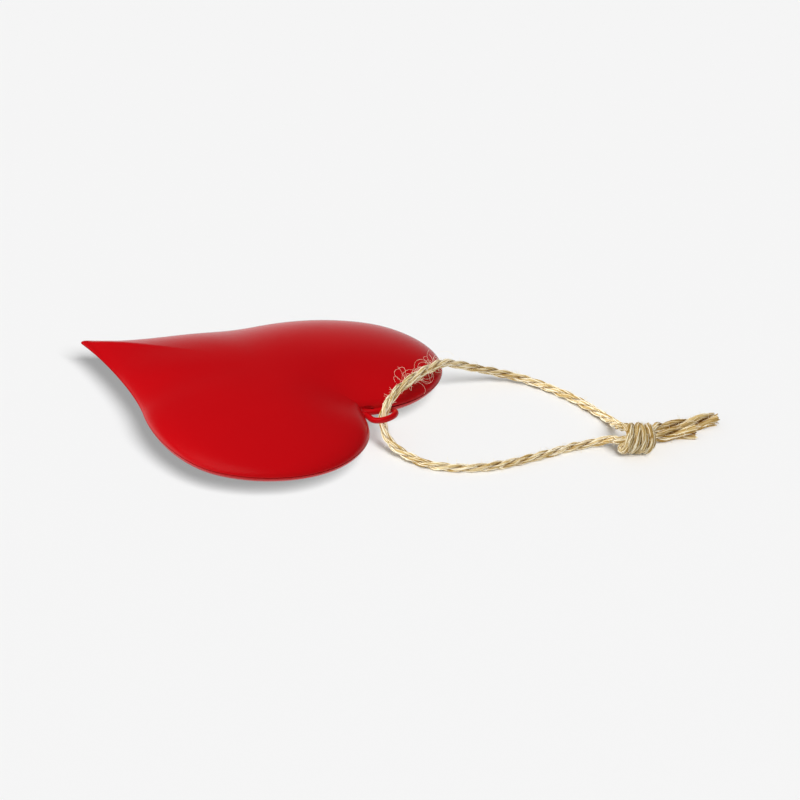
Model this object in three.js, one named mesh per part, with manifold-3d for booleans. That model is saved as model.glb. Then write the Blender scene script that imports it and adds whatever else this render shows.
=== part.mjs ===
// Metal heart ornament: a puffed heart of two stamped and painted steel shells,
// a wire eye held in its cleft, and a loop of jute twine tied with an overhand knot.
// Millimetres, +Z up. The heart lies on its domed back, its tip towards -X and its cleft towards +X.
import * as THREE from 'three';
import { mergeVertices } from 'three/addons/utils/BufferGeometryUtils.js';
import Module from 'manifold-3d';

const wasm = await Module();
wasm.setup();

// Driving dimensions of the heart. Lengths run along the heart's axis from the point of the tip.
const heart = {
  cleftAt: 107, // tip to the bottom of the cleft
  crestAt: 119.7, // tip to the far end of each lobe
  crestOut: 27, // lobe crest to the axis
  widestAt: 85.5,
  widestOut: 59, // half of the overall width
  shoulderAt: 46.2, // where the hollow flank turns into the round lobe
  shoulderOut: 36.3,
  domeTopAt: 70.6, // highest point of each shell
  halfThickness: 8.9, // rim to the top of one shell
  noseRadius: 0.8,
  bellyFlat: 0.12, // depth of the small flat spot that the heart lies on
};

// How the outline turns: directions in degrees from the axis, and lengths of the curve handles.
const outlineTurns = {
  tipAngle: 27,
  tipHandle: 13,
  shoulderAngle: 49.7,
  shoulderHandleIn: 16.9,
  shoulderHandleOut: 15.4,
  widestHandleIn: 12.4,
  widestHandleOut: 15.2,
  crestHandleIn: 20.6,
  crestHandleOut: 14.8,
  cleftAngle: 50.2,
  cleftHandle: 8.3,
};

// How each shell is domed: z = halfThickness * (1 - share ** power) ** fullness.
const dome = {
  power: 2.2,
  fullnessAtLobes: 0.5,
  fullnessAtTip: 0.8,
  tipSharpness: 4, // how closely the slimmer tip keeps to the axis
  rimGrip: 4, // how late the contours take up the corners of the outline
};

// The wire eye: two legs side by side in the cleft, opened into a round ring.
const eye = {
  wire: 2, // diameter
  ringRadius: 4.2, // to the middle of the wire
  ringPastCleft: 7.8, // ring centre from the bottom of the cleft
  legSpacing: 2.3, // between the middles of the two legs
  legInside: 6.5, // length of wire held between the shells
  legOutside: 1.9, // straight length of wire between the cleft and the ring
  rise: 0.8, // the ring's centre above the rim plane
  mouthBend: 0.45, // angle over which each leg bends into the ring, in radians
};

// The jute twine.
const twine = { diameter: 2.7 };

const clearance = 0.3; // between pieces that touch on the real ornament

// Facets.
const flankSteps = [11, 9, 12, 12]; // tip to shoulder, to the widest place, to the crest, to the cleft
const noseSteps = 3;
const domeRings = 12;
const softeningPasses = 24; // smooths the cleft out of the dome's inner contours
const wireSides = 10;
const wireSteps = 54;
const ringSteps = 16;
const pocketSegments = 5;
const twineSides = 8;
const loopSteps = 78;
const tailSteps = 9;
const knotPoints = 18; // along the middle of one strand
const knotSteps = 36;
const weld = 1e-4; // corners this close together are the same corner
const sliver = 0.03; // cuts leave no edge shorter than this

// Where the tied loop runs, from the middle of the eye and from the floor, chosen by hand.
// It leaves the knot, climbs over the far lobe, drops through the eye and returns on the floor.
const loopRoute = [
  [62.4, 45.3, 2.3], [58.2, 48.5, 1.7], [51.0, 52.6, 1.5],
  [42.2, 56.7, 1.5], [34.3, 59.1, 1.5], [26.7, 60.4, 1.7], [19.9, 59.7, 2.6],
  [14.2, 56.6, 4.2], [9.5, 51.2, 6.8], [5.1, 45.5, 9.6], [2.4, 41.0, 11.6],
  [1.6, 36.4, 12.5], [1.0, 28.9, 13.6], [0.5, 21.3, 14.1], [0.1, 15.0, 14.2],
  [0.1, 9.5, 14.0], [0.2, 4.9, 13.3], [0.4, 1.6, 11.8], [0.5, -0.7, 9.5],
  [1.7, -2.5, 6.7], [3.6, -4.0, 4.6], [6.7, -5.8, 3.1], [11.1, -7.3, 2.0],
  [17.8, -8.9, 1.5], [24.8, -9.0, 1.5], [33.2, -5.6, 1.5], [40.6, -0.1, 1.5],
  [48.9, 11.1, 1.5], [56.8, 23.6, 1.5], [61.2, 28.6, 1.7], [64.8, 31.3, 2.5],
];

// Where the two cut tails run on from the knot, measured in the same way.
const tailRoutes = {
  twine_tail_long: [[79.3, 47.2, 4.3], [82.6, 52.2, 2.9], [86.3, 58.2, 2.2], [90.1, 63.8, 2.4]],
  twine_tail_short: [[80.4, 44.3, 2.2], [83.6, 48.6, 1.6], [88.1, 52.2, 1.6]],
};

// The overhand knot, tied in both strands at once. Its own frame has X across its face
// towards the tails, Y up the face and Z out of it.
const knot = {
  centre: [73.9, 33.8, 5.7], // from the middle of the eye and the floor
  heading: 35, // of X, in degrees from the heart's axis
  lean: 14, // how far the face leans from level towards upright, in degrees
  lobeReach: 1.5, // size of the two lobes
  lift: 2.4, // how far crossing strands rise over each other
  liftSharpness: 1.6, // how suddenly they rise
  turn: 2.4, // half of the knot's run round itself, in radians
  pressed: 0.86, // spacing of the paired strands, as a share of the twine
  straightEnd: 0.7, // length in which a strand leaves straight, as a share of the twine
};

// The ends of each strand of the knot, in its frame: at the loop and at the tail.
const knotStrands = [
  { layer: 1, atLoop: [-3.3, 6.0, -2.8], atTail: [4.8, 4.3, 0.4] },
  { layer: -1, atLoop: [-4.8, 0.8, -2.2], atTail: [5.6, 1.7, -2.4] },
];

// One straight or curved stretch of the heart's outline.
function stretch(from, fromHandle, toHandle, to, steps) {
  return new THREE.CubicBezierCurve(from, fromHandle, toHandle, to).getPoints(steps).slice(1);
}

function polar(radius, degrees) {
  const angle = THREE.MathUtils.degToRad(degrees);
  return new THREE.Vector2(radius * Math.cos(angle), radius * Math.sin(angle));
}

// Half of the outline, from the nose of the tip to the bottom of the cleft.
function halfOutline() {
  const turns = outlineTurns;
  const noseCentre = new THREE.Vector2(heart.noseRadius, 0);
  const points = [];
  for (let i = 0; i <= noseSteps; i++) {
    const degrees = 180 - (90 - turns.tipAngle) * (i / noseSteps);
    points.push(noseCentre.clone().add(polar(heart.noseRadius, degrees)));
  }
  const flankStart = points[noseSteps];
  const shoulder = new THREE.Vector2(heart.shoulderAt, heart.shoulderOut);
  const widest = new THREE.Vector2(heart.widestAt, heart.widestOut);
  const crest = new THREE.Vector2(heart.crestAt, heart.crestOut);
  const cleft = new THREE.Vector2(heart.cleftAt, 0);
  const leave = (point, length, degrees) => point.clone().add(polar(length, degrees));
  points.push(
    ...stretch(
      flankStart, leave(flankStart, turns.tipHandle, turns.tipAngle),
      leave(shoulder, -turns.shoulderHandleIn, turns.shoulderAngle), shoulder, flankSteps[0],
    ),
    ...stretch(
      shoulder, leave(shoulder, turns.shoulderHandleOut, turns.shoulderAngle),
      leave(widest, -turns.widestHandleIn, 0), widest, flankSteps[1],
    ),
    ...stretch(
      widest, leave(widest, turns.widestHandleOut, 0),
      leave(crest, turns.crestHandleIn, 90), crest, flankSteps[2],
    ),
    ...stretch(
      crest, leave(crest, -turns.crestHandleOut, 90),
      leave(cleft, turns.cleftHandle, turns.cleftAngle), cleft, flankSteps[3],
    ),
  );
  return points;
}

// The whole outline, once round from the tip.
function fullOutline() {
  const half = halfOutline();
  const mirrored = half.slice(1, -1).reverse().map((p) => new THREE.Vector2(p.x, -p.y));
  return [...half, ...mirrored];
}

// The same outline with its corners softened, for the contours high on the dome.
function softened(outline) {
  let points = outline;
  for (let pass = 0; pass < softeningPasses; pass++) {
    const last = points;
    points = last.map((p, i) => {
      const before = last[(i + last.length - 1) % last.length];
      const after = last[(i + 1) % last.length];
      return p.clone().multiplyScalar(2).add(before).add(after).multiplyScalar(0.25);
    });
  }
  return points;
}

// Height of the shell over the rim plane, at a share of the way from the top to the rim.
function domeHeight(share, tipness) {
  const fullness = THREE.MathUtils.lerp(dome.fullnessAtLobes, dome.fullnessAtTip, tipness);
  return heart.halfThickness * (1 - share ** dome.power) ** fullness;
}

// Two domed shells closed at their rim. The lower one ends in the small flat spot.
function heartGeometry() {
  const outline = fullOutline();
  const soft = softened(outline);
  const middle = new THREE.Vector2(heart.domeTopAt, 0);
  const bellyDepth = heart.halfThickness - heart.bellyFlat;
  const count = outline.length;
  const positions = [];
  const ring = (share, side) => {
    outline.forEach((edge, i) => {
      const away = edge.clone().sub(middle).normalize();
      const tipness = Math.max(0, -away.x) ** dome.tipSharpness;
      const contour = soft[i].clone().lerp(edge, share ** dome.rimGrip);
      const point = middle.clone().lerp(contour, share);
      const height = domeHeight(share, tipness);
      positions.push(point.x, point.y, side > 0 ? height : -Math.min(height, bellyDepth));
    });
  };
  const shares = [];
  for (let i = 1; i <= domeRings; i++) shares.push(Math.sin((i / domeRings) * (Math.PI / 2)));
  positions.push(middle.x, middle.y, heart.halfThickness);
  shares.forEach((share) => ring(share, 1));
  shares.slice(0, -1).reverse().forEach((share) => ring(share, -1));
  positions.push(middle.x, middle.y, -bellyDepth);
  const rings = shares.length * 2 - 1;
  const at = (r, i) => 1 + r * count + (i % count);
  const indices = [];
  for (let i = 0; i < count; i++) {
    indices.push(0, at(0, i + 1), at(0, i));
    for (let r = 0; r < rings - 1; r++) {
      indices.push(at(r, i), at(r, i + 1), at(r + 1, i + 1));
      indices.push(at(r, i), at(r + 1, i + 1), at(r + 1, i));
    }
    indices.push(1 + rings * count, at(rings - 1, i), at(rings - 1, i + 1));
  }
  const geometry = new THREE.BufferGeometry();
  geometry.setAttribute('position', new THREE.Float32BufferAttribute(positions, 3));
  geometry.setIndex(indices);
  return geometry;
}

// A smooth curve through the given points.
function throughPoints(points) {
  return new THREE.CatmullRomCurve3(points, false, 'centripetal');
}

// A round section swept along a curve, with flat ends.
function tube(curve, diameter, sides, steps) {
  const section = new THREE.Shape();
  for (let i = 0; i < sides; i++) {
    const angle = (2 * Math.PI * i) / sides;
    const x = (diameter / 2) * Math.cos(angle);
    const y = (diameter / 2) * Math.sin(angle);
    if (i === 0) section.moveTo(x, y);
    else section.lineTo(x, y);
  }
  section.closePath();
  return new THREE.ExtrudeGeometry(section, { steps, extrudePath: curve, bevelEnabled: false });
}

// Middle of the wire: one leg out of the cleft, round the ring and back along the other leg.
function eyeCurve() {
  const half = eye.legSpacing / 2;
  const opening = Math.asin(half / eye.ringRadius);
  const start = opening + eye.mouthBend; // where the leg has bent into the ring
  const points = [
    new THREE.Vector3(heart.cleftAt - eye.legInside, half, 0),
    new THREE.Vector3(heart.cleftAt - eye.legInside / 2, half, 0),
    new THREE.Vector3(heart.cleftAt + eye.legOutside, half, 0),
  ];
  for (let i = 0; i <= ringSteps; i++) {
    const angle = Math.PI - start - (2 * (Math.PI - start) * i) / ringSteps;
    const reach = eye.ringPastCleft + eye.ringRadius * Math.cos(angle);
    points.push(new THREE.Vector3(
      heart.cleftAt + reach,
      eye.ringRadius * Math.sin(angle),
      eye.rise * (reach / eye.ringPastCleft) ** 2,
    ));
  }
  const legs = points.slice(0, 3).reverse().map((p) => new THREE.Vector3(p.x, -p.y, p.z));
  return throughPoints([...points, ...legs]);
}

function solidOf(geometry) {
  const bare = geometry.clone();
  bare.deleteAttribute('normal');
  bare.deleteAttribute('uv');
  const merged = mergeVertices(bare, weld);
  return new wasm.Manifold(new wasm.Mesh({
    numProp: 3,
    vertProperties: new Float32Array(merged.attributes.position.array),
    triVerts: new Uint32Array(merged.index.array),
  }));
}

// Corners closer together than the sliver size become one, and triangles left without area go.
function withoutSlivers(geometry) {
  const merged = mergeVertices(geometry, sliver);
  const corners = merged.index.array;
  const kept = [];
  for (let i = 0; i < corners.length; i += 3) {
    const [a, b, c] = corners.slice(i, i + 3);
    if (a !== b && b !== c && c !== a) kept.push(a, b, c);
  }
  merged.setIndex(kept);
  return merged;
}

function geometryOf(solid) {
  const mesh = solid.getMesh();
  const geometry = new THREE.BufferGeometry();
  geometry.setAttribute('position', new THREE.Float32BufferAttribute(mesh.vertProperties, 3));
  geometry.setIndex([...mesh.triVerts]);
  return withoutSlivers(geometry);
}

// The pocket in the cleft that the two legs of the eye are held in: a slot with round sides.
function pocketGeometry() {
  const radius = eye.wire / 2 + clearance;
  const half = eye.legSpacing / 2;
  const slot = new THREE.Shape();
  slot.absarc(half, 0, radius, -Math.PI / 2, Math.PI / 2, false);
  slot.absarc(-half, 0, radius, Math.PI / 2, (3 * Math.PI) / 2, false);
  const depth = eye.legInside + clearance + eye.ringPastCleft;
  const settings = { depth, bevelEnabled: false, curveSegments: pocketSegments };
  const geometry = new THREE.ExtrudeGeometry(slot, settings);
  geometry.rotateX(Math.PI / 2);
  geometry.rotateZ(Math.PI / 2);
  return geometry.translate(heart.cleftAt - eye.legInside - clearance, 0, 0);
}

// The heart with the pocket cut into its cleft.
function heartBody() {
  return geometryOf(solidOf(heartGeometry()).subtract(solidOf(pocketGeometry())));
}

// Middle of one strand through the knot, in the knot's frame.
function knotCurve({ layer, atLoop, atTail }) {
  const { lobeReach, lift, liftSharpness, turn, pressed } = knot;
  const points = [new THREE.Vector3(...atLoop)];
  for (let i = 0; i <= knotPoints; i++) {
    const angle = turn * ((2 * i) / knotPoints - 1);
    const rise = lift * Math.tanh(liftSharpness * Math.sin(3 * angle));
    points.push(new THREE.Vector3(
      -lobeReach * (Math.sin(angle) + 2 * Math.sin(2 * angle)),
      lobeReach * (2 * Math.cos(2 * angle) - Math.cos(angle)),
      rise + (layer * pressed * twine.diameter) / 2,
    ));
  }
  points.push(new THREE.Vector3(...atTail));
  return throughPoints(points);
}

// Both strands of the tied bundle, pressed together into one lump.
function knotGeometry() {
  const [first, second] = knotStrands.map((strand) => (
    solidOf(tube(knotCurve(strand), twine.diameter, twineSides, knotSteps))
  ));
  return geometryOf(first.add(second));
}

// The first stretch of a cord that goes on from one end of a knot strand, a gap away from it.
function leadFrom(strand, end, frame) {
  const curve = knotCurve(strand);
  const tip = curve.getPoint(end);
  const away = curve.getTangent(end).multiplyScalar(end === 1 ? 1 : -1);
  return [clearance, clearance + twine.diameter * knot.straightEnd].map((reach) => (
    tip.clone().addScaledVector(away, reach).applyMatrix4(frame)
  ));
}

function mesh(name, geometry, finish) {
  const material = new THREE.MeshStandardMaterial(finish);
  const piece = new THREE.Mesh(geometry, material);
  piece.name = name;
  return piece;
}

const paint = { color: 0xb80410, roughness: 0.35, metalness: 0 };
const jute = { color: 0xcdb277, roughness: 0.95, metalness: 0 };

// The heart and its eye stand on the belly, centred on their own outline.
const metalwork = new THREE.Group();
metalwork.add(mesh('heart_body', heartBody(), paint));
metalwork.add(mesh('wire_eye', tube(eyeCurve(), eye.wire, wireSides, wireSteps), paint));
const extent = new THREE.Box3().setFromObject(metalwork);
metalwork.position.set(-(extent.min.x + extent.max.x) / 2, 0, -extent.min.z);

// The knot in its place beside the eye and on the floor.
const tied = new THREE.Group();
tied.position.set(...knot.centre);
tied.rotation.order = 'ZXY';
tied.rotation.z = THREE.MathUtils.degToRad(knot.heading);
tied.rotation.x = THREE.MathUtils.degToRad(knot.lean);
tied.add(mesh('twine_knot', knotGeometry(), jute));
tied.updateMatrix();

// The rest of the twine: the loop from knot to knot, and the two cut tails.
const cordage = new THREE.Group();
cordage.position.set(metalwork.position.x + heart.cleftAt + eye.ringPastCleft, 0, 0);
cordage.add(tied);
const loopCurve = throughPoints([
  ...leadFrom(knotStrands[0], 0, tied.matrix),
  ...loopRoute.map((p) => new THREE.Vector3(...p)),
  ...leadFrom(knotStrands[1], 0, tied.matrix).reverse(),
]);
cordage.add(mesh('twine_loop', tube(loopCurve, twine.diameter, twineSides, loopSteps), jute));
Object.entries(tailRoutes).forEach(([name, route], i) => {
  const curve = throughPoints([
    ...leadFrom(knotStrands[i], 1, tied.matrix),
    ...route.map((p) => new THREE.Vector3(...p)),
  ]);
  cordage.add(mesh(name, tube(curve, twine.diameter, twineSides, tailSteps), jute));
});

const ornament = new THREE.Group();
ornament.add(metalwork, cordage);

export default ornament;
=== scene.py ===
# %% [markdown]
# A metal heart ornament: a puffed heart of two stamped steel shells, painted satin red,
# with a wire eye in its cleft. A loop of three-ply jute twine runs through the eye and is
# tied in an overhand knot. Everything is in metres in the part's own frame: the heart lies
# on its domed back, tip towards -X, cleft towards +X, and +Z is up.

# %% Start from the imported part
import math
import random

import bpy
import numpy as np
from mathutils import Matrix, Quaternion, Vector
from mathutils.bvhtree import BVHTree


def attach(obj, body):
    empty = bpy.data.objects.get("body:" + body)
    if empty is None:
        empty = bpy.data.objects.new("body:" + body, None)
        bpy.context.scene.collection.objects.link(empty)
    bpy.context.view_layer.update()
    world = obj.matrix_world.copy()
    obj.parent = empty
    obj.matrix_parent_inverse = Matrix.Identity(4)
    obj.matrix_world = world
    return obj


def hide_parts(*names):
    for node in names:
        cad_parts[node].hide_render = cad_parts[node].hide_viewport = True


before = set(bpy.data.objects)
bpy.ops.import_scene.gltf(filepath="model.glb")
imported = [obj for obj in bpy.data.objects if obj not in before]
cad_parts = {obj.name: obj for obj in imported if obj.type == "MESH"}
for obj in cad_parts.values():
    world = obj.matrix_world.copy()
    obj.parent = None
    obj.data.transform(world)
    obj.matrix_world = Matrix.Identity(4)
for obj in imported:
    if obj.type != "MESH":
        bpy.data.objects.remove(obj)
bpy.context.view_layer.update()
MM = 0.001
HEART_X = -60.0  # the point of the tip in the part's frame
CLEFT_AT = 107  # from the tip, in mm, like every length below
RING_PAST_CLEFT = 7.8  # from the cleft to the middle of the wire ring
EYE_X = HEART_X + CLEFT_AT + RING_PAST_CLEFT
print("solids:", sorted(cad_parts))

# %% [markdown]
# The photograph was taken with a long lens from above one lobe. The camera could be placed
# by eye, but its place was found by fitting the heart's outline to its silhouette, which is
# surer. A long lens keeps the far lobe nearly as large as the near one, which is why the
# camera stands a metre away.

# %% Camera
CAMERA_AT = (468.28, -828.33, 484.08)
CAMERA_AIM = (46.41, 29.59, 0)
CAMERA_ROLL = 1.35  # degrees
LENS, SENSOR = 144, 36  # mm

camera_data = bpy.data.cameras.new("camera")
camera_data.sensor_width = SENSOR
camera_data.lens = LENS
camera = bpy.data.objects.new("camera", camera_data)
bpy.context.scene.collection.objects.link(camera)
camera.location = Vector(CAMERA_AT) * MM
camera.rotation_mode = "QUATERNION"
sight = (Vector(CAMERA_AIM) * MM - camera.location).to_track_quat("-Z", "Y")
camera.rotation_quaternion = sight @ Quaternion((0, 0, 1), math.radians(CAMERA_ROLL))
bpy.context.scene.camera = camera
print("camera to aim:", round((Vector(CAMERA_AIM) * MM - camera.location).length, 3), "m")

# %% [markdown]
# One function adds a node to any tree, one turns a colour read from the photograph
# into the linear colour that shaders use, one makes an object of points and faces, and one
# leaves a number on every point of it.


# %% Small tools
def add_node(tree, kind, inputs=(), **settings):
    """Any node, with its settings and inputs. A node given as an input is linked to it."""
    made = tree.nodes.new(kind)
    for name, value in settings.items():
        setattr(made, name, value)
    for name, given in (inputs if isinstance(inputs, dict) else dict(enumerate(inputs))).items():
        for value in given if isinstance(given, list) else [given]:
            if isinstance(value, bpy.types.Node):
                value = next(socket for socket in value.outputs if socket.enabled)
            if isinstance(value, bpy.types.NodeSocket):
                tree.links.new(value, made.inputs[name])
            else:
                made.inputs[name].default_value = value
    return made


def linear(hex_colour):
    channels = [int(hex_colour[i : i + 2], 16) / 255 for i in (1, 3, 5)]
    return (*(c / 12.92 if c <= 0.04045 else ((c + 0.055) / 1.055) ** 2.4 for c in channels), 1.0)


def mesh_object(name, points, faces, material=None):
    data = bpy.data.meshes.new(name)
    data.from_pydata([tuple(float(c) * MM for c in p) for p in points], [], faces)
    data.shade_smooth()
    made = bpy.data.objects.new(name, data)
    bpy.context.scene.collection.objects.link(made)
    if material:
        data.materials.append(material)
    return made


def mark(piece, label, values):
    """Leaves one named number on every point of a piece, for its material or node tree."""
    piece.data.attributes.new(label, "FLOAT", "POINT").data.foreach_set("value", values)


def surface_material(name, shader_inputs):
    made = bpy.data.materials.new(name)
    made.use_nodes = True
    tree = made.node_tree
    tree.nodes.clear()
    shader = add_node(tree, "ShaderNodeBsdfPrincipled", shader_inputs)
    add_node(tree, "ShaderNodeOutputMaterial", {"Surface": shader.outputs[0]})
    return made, tree, shader


# %% [markdown]
# The shells are spray painted: one even coat of satin red that pools a little, so its
# colour drifts slightly over some centimetres and its skin has a faint orange peel. One
# plain colour would do from afar, but it looks like plastic. So a slow noise mixes two reds
# and a fine one gives the peel. Deep in the seam, where no light comes, shade is painted in as
# near-black.

# %% Satin red spray paint on stamped steel
RED = linear("#C4020A")
RED_DEEP = linear("#B3010A")
# Painted shade: the near-black given to the bottom of the seam and the inside of the wire's hole.
SHADE_IN_SEAM = linear("#1C0001")
DRIFT_SIZE, PEEL_SIZE = 41.7, 1.11  # mm from one patch to the next
PEEL_STRENGTH, PEEL_DEPTH = 0.06, 0.1

red_paint, tree, shader = surface_material(
    "satin red spray paint", {"Roughness": 0.25, "Specular IOR Level": 0.2}
)
place = add_node(tree, "ShaderNodeTexCoord").outputs["Object"]
drift = add_node(
    tree, "ShaderNodeTexNoise", {"Vector": place, "Scale": 1 / (DRIFT_SIZE * MM), "Detail": 2.0}
)
drifted = add_node(
    tree, "ShaderNodeMix", {"Factor": drift, "A": RED_DEEP, "B": RED}, data_type="RGBA"
)
# The seam number marks where that painted shade goes.
seam = add_node(tree, "ShaderNodeAttribute", attribute_name="seam").outputs["Fac"]
colour = add_node(
    tree, "ShaderNodeMix", {"Factor": seam, "A": drifted, "B": SHADE_IN_SEAM}, data_type="RGBA"
)
tree.links.new(colour.outputs["Result"], shader.inputs["Base Color"])
peel = add_node(
    tree, "ShaderNodeTexNoise", {"Vector": place, "Scale": 1 / (PEEL_SIZE * MM), "Detail": 1.0}
)
bump = add_node(
    tree,
    "ShaderNodeBump",
    {"Height": peel, "Strength": PEEL_STRENGTH, "Distance": PEEL_DEPTH * MM},
)
tree.links.new(bump.outputs["Normal"], shader.inputs["Normal"])
print("on the heart and its eye:", red_paint.name)

# %% [markdown]
# Jute is a blonde bast fibre, dry and without gloss. Every fibre has its own tone, drifting
# along its length. Deep between the plies, shade is painted in as brown: how much comes from
# how far a point stands from the twine's own axis. Both could be painted by hand, but the node
# tree that lays the fibres knows them, and leaves them on the mesh for the material to read.

# %% Natural jute fibre
JUTE_PALE = linear("#FFF6DE")
JUTE_STRAW = linear("#EEDDAC")
JUTE_TAN = linear("#B48E44")
# Painted shade: the brown given deep between the plies.
JUTE_GAP_SHADE = linear("#6B3F06")
TAN_UP_TO, STRAW_AT, PALE_FROM = 0.12, 0.45, 0.85  # on the scale of a fibre's own tone
GAP_UP_TO, FIBRE_FROM = 0.42, 0.82  # from the twine's axis, as a share of its radius

jute, tree, shader = surface_material(
    "natural jute fibre", {"Roughness": 0.75, "Specular IOR Level": 0.15}
)
tone = add_node(tree, "ShaderNodeAttribute", attribute_name="tone").outputs["Fac"]
proud = add_node(tree, "ShaderNodeAttribute", attribute_name="proud").outputs["Fac"]
fibre_tone = add_node(tree, "ShaderNodeValToRGB", {"Fac": tone})
ramp = fibre_tone.color_ramp
ramp.elements[0].position, ramp.elements[0].color = TAN_UP_TO, JUTE_TAN
ramp.elements[1].position, ramp.elements[1].color = PALE_FROM, JUTE_PALE
ramp.elements.new(STRAW_AT).color = JUTE_STRAW
# The painted shade between the plies, from the point's distance to the axis.
gap_shade_mask = add_node(
    tree,
    "ShaderNodeMapRange",
    {"Value": proud, "From Min": GAP_UP_TO, "From Max": FIBRE_FROM},
)
colour = add_node(
    tree, "ShaderNodeMix", {"Factor": gap_shade_mask, "A": JUTE_GAP_SHADE, "B": fibre_tone}, data_type="RGBA"
)
tree.links.new(colour.outputs["Result"], shader.inputs["Base Color"])
print("on the twine:", jute.name)

# %% [markdown]
# One length of twine: from the cut end of the long tail through the knot, over the far
# lobe, down through the eye, back along the floor, through the knot again and out to the
# short tail. A simulated rope would fall in its own way, so the points are read off the
# photograph. The loop has the points that the solids were made from, and the cut ends are
# laid a little more closely. All are in mm from the middle of the eye and from the floor.

# %% Route of the twine
TWINE = 2.7  # its diameter
LOOP_ROUTE = [
    (62.4, 45.3, 2.3), (58.2, 48.5, 1.7), (51.0, 52.6, 1.5),
    (42.2, 56.7, 1.5), (34.3, 59.1, 1.5), (26.7, 60.4, 1.7), (19.9, 59.7, 2.6),
    (14.2, 56.6, 4.2), (9.5, 51.2, 6.8), (5.1, 45.5, 9.6), (2.4, 41.0, 11.6),
    (1.6, 36.4, 12.5), (1.0, 28.9, 13.6), (0.5, 21.3, 14.1), (0.1, 15.0, 14.2),
    (0.1, 9.5, 14.0), (0.2, 4.9, 13.3), (0.4, 1.6, 11.8), (0.5, -0.7, 9.5),
    (1.7, -2.5, 6.7), (3.6, -4.0, 4.6), (6.7, -5.8, 3.1), (11.1, -7.3, 2.0),
    (17.8, -8.9, 1.5), (24.8, -9.0, 1.5), (33.2, -5.6, 1.5), (40.6, -0.1, 1.5),
    (48.9, 11.1, 1.5), (56.8, 23.6, 1.5), (61.2, 28.6, 1.7), (64.8, 31.3, 2.5),
]
IN_EYE = (0.5, -0.7, 9.5)  # where the loop passes the middle of the ring
LONG_TAIL_ROUTE = [(79.3, 47.0, 3.9), (82.6, 52.0, 2.9), (86.3, 58.2, 2.2), (91.4, 65.2, 1.9)]
SHORT_TAIL_ROUTE = [(80.4, 44.6, 2.3), (83.8, 49.1, 1.8), (88.9, 53.4, 1.6)]
print("chosen points on the loop:", len(LOOP_ROUTE))

# %% [markdown]
# An overhand knot, drawn tight. Its tangle can't be read off one photograph, and it would
# be hard to place by hand, so both strands follow one rule: they run in along the knot's
# middle, wind back round themselves from the tails towards the loop, and leave through the
# middle again. The first turn stands square to the knot and the second leans over to the
# loop. Points are along, across and up, before the knot is turned to its heading.

# %% The knot
KNOT_CENTRE = (73.9, 33.8, 5.7)
KNOT_HEADING = 35  # degrees
WINDING_MIDDLE = (1.0, -2.0, -0.2)
WINDING_RADIUS = 4.1
WINDING_ANGLES = range(-40, 550, 15)  # degrees from the top, over the near side
WINDING_STARTS = 2.5  # from the middle towards the tails
WINDING_PITCH = 3.2  # how far one turn goes back
WINDING_TAPER = 0.03  # how fast the turns grow narrower on both sides of the middle
WINDING_BULGE = 1.4  # how far the near side of the first turn stands out towards the tails
SECOND_TURN = 330  # degrees, from where it leans over
SECOND_PITCH = 5.6
STRAND_APART = 1.2  # from the middle of the pair
INNER_WAY_IN, INNER_WAY_OUT = (-0.5, 2.6), (-3.2, 2.6)  # where the strands run in the middle
STRAND_WAYS = {  # in, across and up in the middle on the way in and on the way out, out
    "upper": ([(-2.3, 6.5, -0.2), (-1.2, 2.4, 1.5)], (0.6, 1.0), (0.6, -1.1), [(6.8, 1.8, 0.9)]),
    "lower": (
        [(-4.8, 1.3, -1.9), (-5.0, -0.6, -1.6)], (1.2, -0.2), (-0.6, -0.9),
        [(6.6, 0.4, -0.9), (6.9, 2.0, -1.6)],
    ),
}


def winding(side):
    """One strand on its way round the middle of the knot."""
    x0, y0, z0 = WINDING_MIDDLE
    points = []
    for degrees in WINDING_ANGLES:
        a = math.radians(degrees)
        back = WINDING_STARTS - WINDING_PITCH * degrees / 360
        back -= (SECOND_PITCH - WINDING_PITCH) * max(0, degrees - SECOND_TURN) / 360
        if degrees < SECOND_TURN:
            back += WINDING_BULGE * max(0, math.sin(a))
        reach = WINDING_RADIUS - WINDING_TAPER * back * back
        points.append((x0 + back + side, y0 - reach * math.sin(a), z0 + reach * math.cos(a)))
    return points


def through_knot(strand):
    """One strand from the loop to the tail, turned to the knot's heading."""
    into, way_in, way_out, out = STRAND_WAYS[strand]
    x0, y0, z0 = WINDING_MIDDLE
    points = [*into, *((x0 + x, y0 + way_in[0], z0 + way_in[1]) for x in INNER_WAY_IN)]
    points += winding(STRAND_APART if strand == "upper" else -STRAND_APART)
    points += [(x0 + x, y0 + way_out[0], z0 + way_out[1]) for x in INNER_WAY_OUT]
    heading = Quaternion((0, 0, 1), math.radians(KNOT_HEADING))
    return [tuple(heading @ Vector(p) + Vector(KNOT_CENTRE)) for p in points + out]


upper_knot, lower_knot = through_knot("upper"), through_knot("lower")
print("points on one strand in the knot:", len(upper_knot))

# %% [markdown]
# A centripetal curve goes through all the points. It is chosen over a plain spline because
# it doesn't overshoot where points lie close together, as they do in the knot. The route
# is cut into six stretches, which become the pieces.

# %% One smooth route
STEP = 0.45  # between the points of the finished route
POINTS_A_SPAN = 24  # of the curve between two chosen points
EASINGS = 8  # rounds that take the last hard bends out of the knot


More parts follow.
